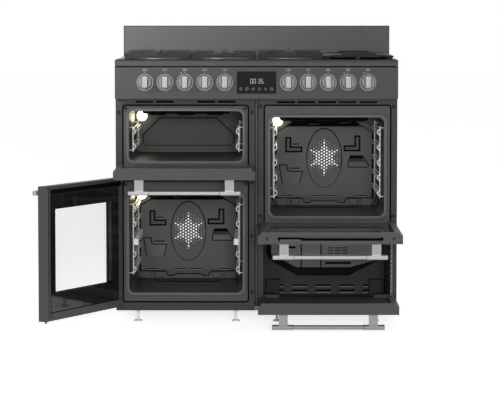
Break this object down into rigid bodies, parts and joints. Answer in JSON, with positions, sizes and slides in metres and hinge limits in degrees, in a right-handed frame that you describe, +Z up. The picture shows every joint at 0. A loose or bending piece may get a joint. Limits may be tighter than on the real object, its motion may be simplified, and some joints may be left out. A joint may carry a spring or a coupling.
{
  "type": "range cooker with double oven",
  "caption": "Free-standing range cooker with stacked left ovens, a large right oven over a storage flap, gas hob with cast pan supports and griddle, and a knob panel with a clock.",
  "frame": {"origin": "on the floor under the middle of the cabinet footprint", "axes": "+X to the right seen from the front, +Y to the back, +Z up"},
  "size_m": [1.264, 1.098, 1.055],
  "materials": {
    "sheet": "satin",
    "steel": "satin",
    "hob": "satin",
    "zinc": "satin",
    "enamel": "gloss",
    "chrome": "polished",
    "satin_metal": "satin",
    "cast": "matte",
    "burner": "satin",
    "black_glass": "gloss",
    "window_glass": "gloss",
    "lamp_glass": "gloss",
    "seal": "matte",
    "brass": "satin",
    "plastic": "matte",
    "switch": "matte",
    "element": "matte"
  },
  "bodies": {
    "cabinet": {"base_frame": "zinc", "levelling_feet": "plastic", "side_panels": "sheet", "back_panel": "zinc", "left_front_frame": "sheet", "right_front_frame": "sheet", "centre_divider": "steel", "control_panel": "sheet", "display_unit": "black_glass", "hob_top": "hob", "splashback": "sheet", "upper_left_oven": "enamel", "lower_left_oven": "enamel", "right_oven": "enamel", "storage_liner": "zinc", "door_seals": "seal", "side_racks": "chrome", "fan_covers": "enamel", "grill_elements": "element", "ring_elements": "element", "oven_lamps": "lamp_glass", "fan_motors": "zinc", "burner_bodies": "burner", "burner_caps": "cast", "left_pan_support": "cast", "centre_pan_support": "cast", "right_pan_support": "cast", "griddle_plate": "cast", "gas_rail": "brass", "gas_taps": "brass", "oven_switches": "switch", "knob_bezels": "satin_metal", "hinge_brackets": "steel", "frame_screws": "steel", "terminal_box": "plastic"},
    "upper_left_door_body": {"upper_left_door": "sheet", "upper_left_glass": "black_glass", "upper_left_handle": "satin_metal"},
    "lower_left_door_body": {"lower_left_door": "sheet", "lower_left_glass": "window_glass", "lower_left_handle": "satin_metal"},
    "right_door_body": {"right_door": "sheet", "right_glass": "black_glass", "right_handle": "satin_metal"},
    "storage_flap_body": {"storage_flap": "sheet", "storage_handle": "satin_metal"},
    "left_fan_body": {"left_fan": "steel"},
    "right_fan_body": {"right_fan": "steel"},
    "left_rail_body": {"left_rail": "steel"},
    "right_rail_body": {"right_rail": "steel"},
    "gas_knob_1_body": {"gas_knob_1": "satin_metal"},
    "gas_knob_2_body": {"gas_knob_2": "satin_metal"},
    "gas_knob_3_body": {"gas_knob_3": "satin_metal"},
    "gas_knob_4_body": {"gas_knob_4": "satin_metal"},
    "gas_knob_5_body": {"gas_knob_5": "satin_metal"},
    "gas_knob_6_body": {"gas_knob_6": "satin_metal"},
    "oven_knob_1_body": {"oven_knob_1": "satin_metal"},
    "oven_knob_2_body": {"oven_knob_2": "satin_metal"},
    "oven_knob_3_body": {"oven_knob_3": "satin_metal"},
    "oven_knob_4_body": {"oven_knob_4": "satin_metal"}
  },
  "joints": [
    {"name": "lower_left_door_hinge", "type": "hinge", "parent": "cabinet", "child": "lower_left_door_body", "pos_m": [-0.492, -0.323, 0.292], "axis": [0, 0, -1], "range_deg": [-118, 0]},
    {"name": "upper_left_door_hinge", "type": "hinge", "parent": "cabinet", "child": "upper_left_door_body", "pos_m": [-0.25, -0.323, 0.551], "axis": [1, 0, 0], "range_deg": [-90, 0]},
    {"name": "right_door_hinge", "type": "hinge", "parent": "cabinet", "child": "right_door_body", "pos_m": [0.25, -0.323, 0.349], "axis": [1, 0, 0], "range_deg": [-90, 0]},
    {"name": "storage_flap_hinge", "type": "hinge", "parent": "cabinet", "child": "storage_flap_body", "pos_m": [0.25, -0.323, 0.0825], "axis": [1, 0, 0], "range_deg": [-90, 0]},
    {"name": "left_fan_spin", "type": "hinge", "parent": "cabinet", "child": "left_fan_body", "pos_m": [-0.2545, 0.177, 0.29], "axis": [0, -1, 0], "continuous": true},
    {"name": "right_fan_spin", "type": "hinge", "parent": "cabinet", "child": "right_fan_body", "pos_m": [0.253, 0.177, 0.564], "axis": [0, -1, 0], "continuous": true},
    {"name": "left_rail_slide", "type": "slide", "parent": "cabinet", "child": "left_rail_body", "axis": [0, -1, 0], "range_m": [0, 0.33]},
    {"name": "right_rail_slide", "type": "slide", "parent": "cabinet", "child": "right_rail_body", "axis": [0, -1, 0], "range_m": [0, 0.33]},
    {"name": "gas_knob_1_turn", "type": "hinge", "parent": "cabinet", "child": "gas_knob_1_body", "pos_m": [-0.3931, -0.353, 0.8613], "axis": [0, -1, 0], "range_deg": [0, 210]},
    {"name": "gas_knob_2_turn", "type": "hinge", "parent": "cabinet", "child": "gas_knob_2_body", "pos_m": [-0.3229, -0.353, 0.8613], "axis": [0, -1, 0], "range_deg": [0, 210]},
    {"name": "gas_knob_3_turn", "type": "hinge", "parent": "cabinet", "child": "gas_knob_3_body", "pos_m": [-0.1825, -0.353, 0.8613], "axis": [0, -1, 0], "range_deg": [0, 210]},
    {"name": "gas_knob_4_turn", "type": "hinge", "parent": "cabinet", "child": "gas_knob_4_body", "pos_m": [-0.1123, -0.353, 0.8613], "axis": [0, -1, 0], "range_deg": [0, 210]},
    {"name": "gas_knob_5_turn", "type": "hinge", "parent": "cabinet", "child": "gas_knob_5_body", "pos_m": [0.1123, -0.353, 0.8613], "axis": [0, -1, 0], "range_deg": [0, 210]},
    {"name": "gas_knob_6_turn", "type": "hinge", "parent": "cabinet", "child": "gas_knob_6_body", "pos_m": [0.1825, -0.353, 0.8613], "axis": [0, -1, 0], "range_deg": [0, 210]},
    {"name": "oven_knob_1_turn", "type": "hinge", "parent": "cabinet", "child": "oven_knob_1_body", "pos_m": [-0.2527, -0.353, 0.8613], "axis": [0, 1, 0], "range_deg": [0, 270]},
    {"name": "oven_knob_2_turn", "type": "hinge", "parent": "cabinet", "child": "oven_knob_2_body", "pos_m": [0.2527, -0.353, 0.8613], "axis": [0, 1, 0], "range_deg": [0, 330]},
    {"name": "oven_knob_3_turn", "type": "hinge", "parent": "cabinet", "child": "oven_knob_3_body", "pos_m": [0.3229, -0.353, 0.8613], "axis": [0, 1, 0], "range_deg": [0, 270]},
    {"name": "oven_knob_4_turn", "type": "hinge", "parent": "cabinet", "child": "oven_knob_4_body", "pos_m": [0.3931, -0.353, 0.8613], "axis": [0, 1, 0], "range_deg": [0, 270]}
  ],
  "couplings": [
    {"joint": "upper_left_door_hinge", "follows": "lower_left_door_hinge", "ratio": 0.7627}
  ]
}
